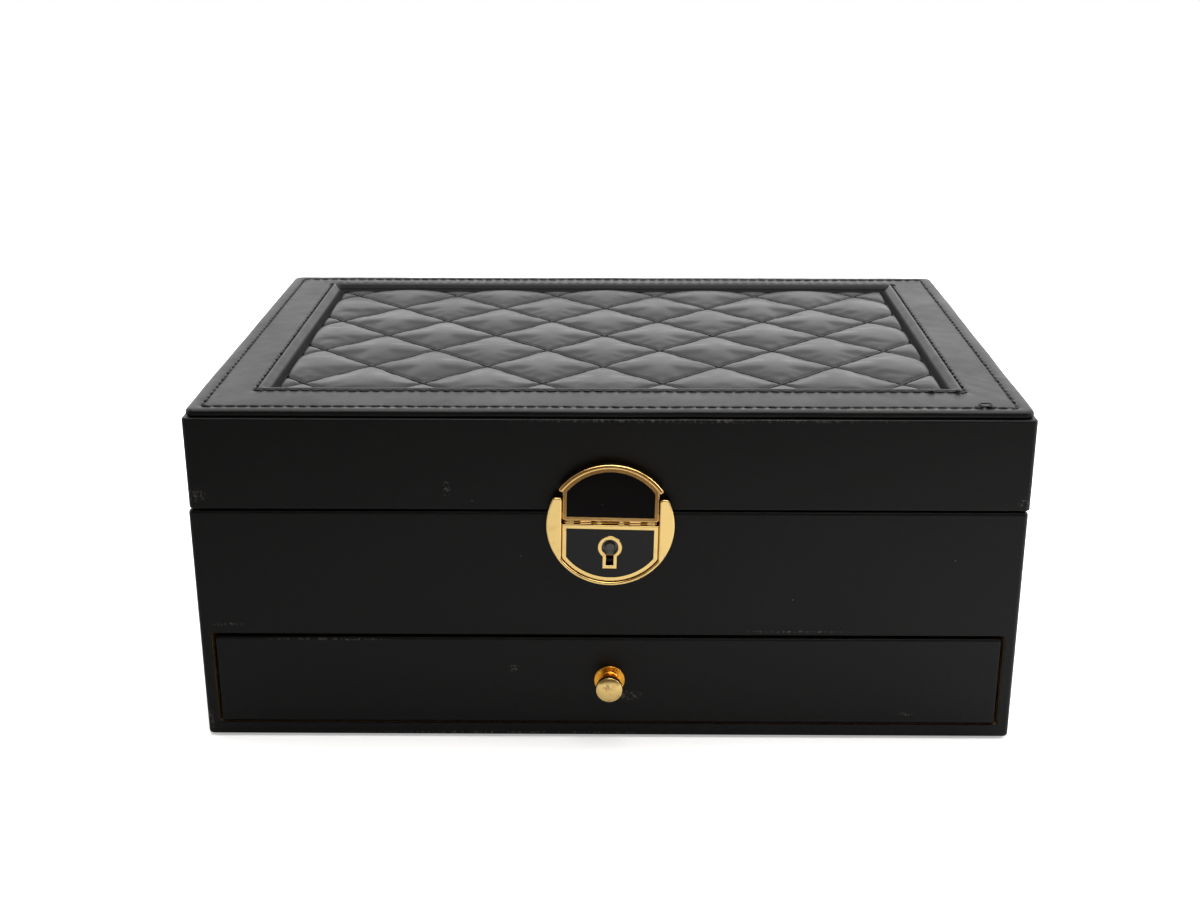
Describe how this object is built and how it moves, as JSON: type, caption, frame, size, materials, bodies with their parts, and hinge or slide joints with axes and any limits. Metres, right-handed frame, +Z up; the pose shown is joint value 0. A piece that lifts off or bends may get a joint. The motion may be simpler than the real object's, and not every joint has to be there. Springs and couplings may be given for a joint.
{
  "type": "jewelry box",
  "caption": "Leather-covered jewellery box with a quilted lid on rear hinges, a lined tray, a pull-out drawer with a knob and a round flip latch with a keyhole.",
  "frame": {"origin": "middle of the base on the surface it stands on, midway between the side walls and between the front and back faces of the case", "axes": "+Z up, the front with the latch and drawer faces -Y, +X to the right seen from the front"},
  "size_m": [0.2603, 0.1924, 0.1113],
  "materials": {
    "covering_leather": "satin, fine grain",
    "quilted_leather": "satin, soft",
    "fibreboard": "matte",
    "greyboard": "matte",
    "velvet": "short pile",
    "cushion_velvet": "short pile",
    "felt": "matte",
    "gold": "polished gold plating",
    "enamel": "gloss",
    "steel": "satin",
    "mirror_glass": "polished"
  },
  "bodies": {
    "case": {"case_cover": "covering_leather", "base_board": "fibreboard", "left_board": "fibreboard", "right_board": "fibreboard", "back_board": "fibreboard", "front_board": "fibreboard", "bay_shelf": "fibreboard", "case_lining": "velvet", "divider_long": "velvet", "divider_cross": "velvet", "divider_short": "velvet", "ring_rolls": "cushion_velvet", "base_felt": "felt", "drawer_runners": "felt", "lock_frame": "gold", "lock_face": "gold", "keyhole_rim": "gold", "case_hinge_leaves": "gold", "hinge_pins": "gold", "case_hinge_screws": "gold", "lock_backplate": "gold", "lock_enamel": "enamel", "lever_pin": "steel", "lock_screws": "steel"},
    "lid": {"lid_cover": "covering_leather", "lid_left_board": "fibreboard", "lid_right_board": "fibreboard", "lid_back_board": "fibreboard", "lid_front_board": "fibreboard", "lid_top_board": "fibreboard", "lid_frame_spacer": "greyboard", "lid_frame_core": "greyboard", "lid_frame_cover": "covering_leather", "quilted_pad": "quilted_leather", "pad_backing": "greyboard", "lid_lining": "velvet", "mirror": "mirror_glass", "mirror_frame": "velvet", "strike_plate": "gold", "strike_rivets": "steel", "lid_hinge_leaves": "gold", "lid_hinge_screws": "gold"},
    "drawer": {"drawer_front_core": "fibreboard", "drawer_front_cover": "covering_leather", "drawer_bottom": "fibreboard", "drawer_left_side": "fibreboard", "drawer_right_side": "fibreboard", "drawer_back": "fibreboard", "drawer_lining": "velvet", "drawer_dividers": "velvet", "drawer_knob": "gold", "knob_screw": "steel"},
    "latch": {"latch_lever": "gold", "lever_enamel": "enamel"},
    "key": {"key_plug": "steel"},
    "bolt": {"lock_bolt": "steel"}
  },
  "joints": [
    {"name": "lid_hinge", "type": "hinge", "parent": "case", "child": "lid", "pos_m": [0, 0.0919, 0.0792], "axis": [-1, 0, 0], "range_deg": [0, 100]},
    {"name": "drawer_slide", "type": "slide", "parent": "case", "child": "drawer", "axis": [0, -1, 0], "range_m": [0, 0.15]},
    {"name": "latch_flip", "type": "hinge", "parent": "case", "child": "latch", "pos_m": [0.00092, -0.093, 0.07643], "axis": [0.9998, 0, -0.0209], "range_deg": [0, 90]},
    {"name": "key_turn", "type": "hinge", "parent": "case", "child": "key", "pos_m": [0.00075, -0.092, 0.0685], "axis": [0, -1, 0], "range_deg": [0, 90]},
    {"name": "bolt_slide", "type": "slide", "parent": "case", "child": "bolt", "axis": [0.0209, 0, 0.9998], "range_m": [0, 0.001]}
  ],
  "couplings": [
    {"joint": "key_turn", "follows": "bolt_slide", "rad_per_m": 1570}
  ]
}
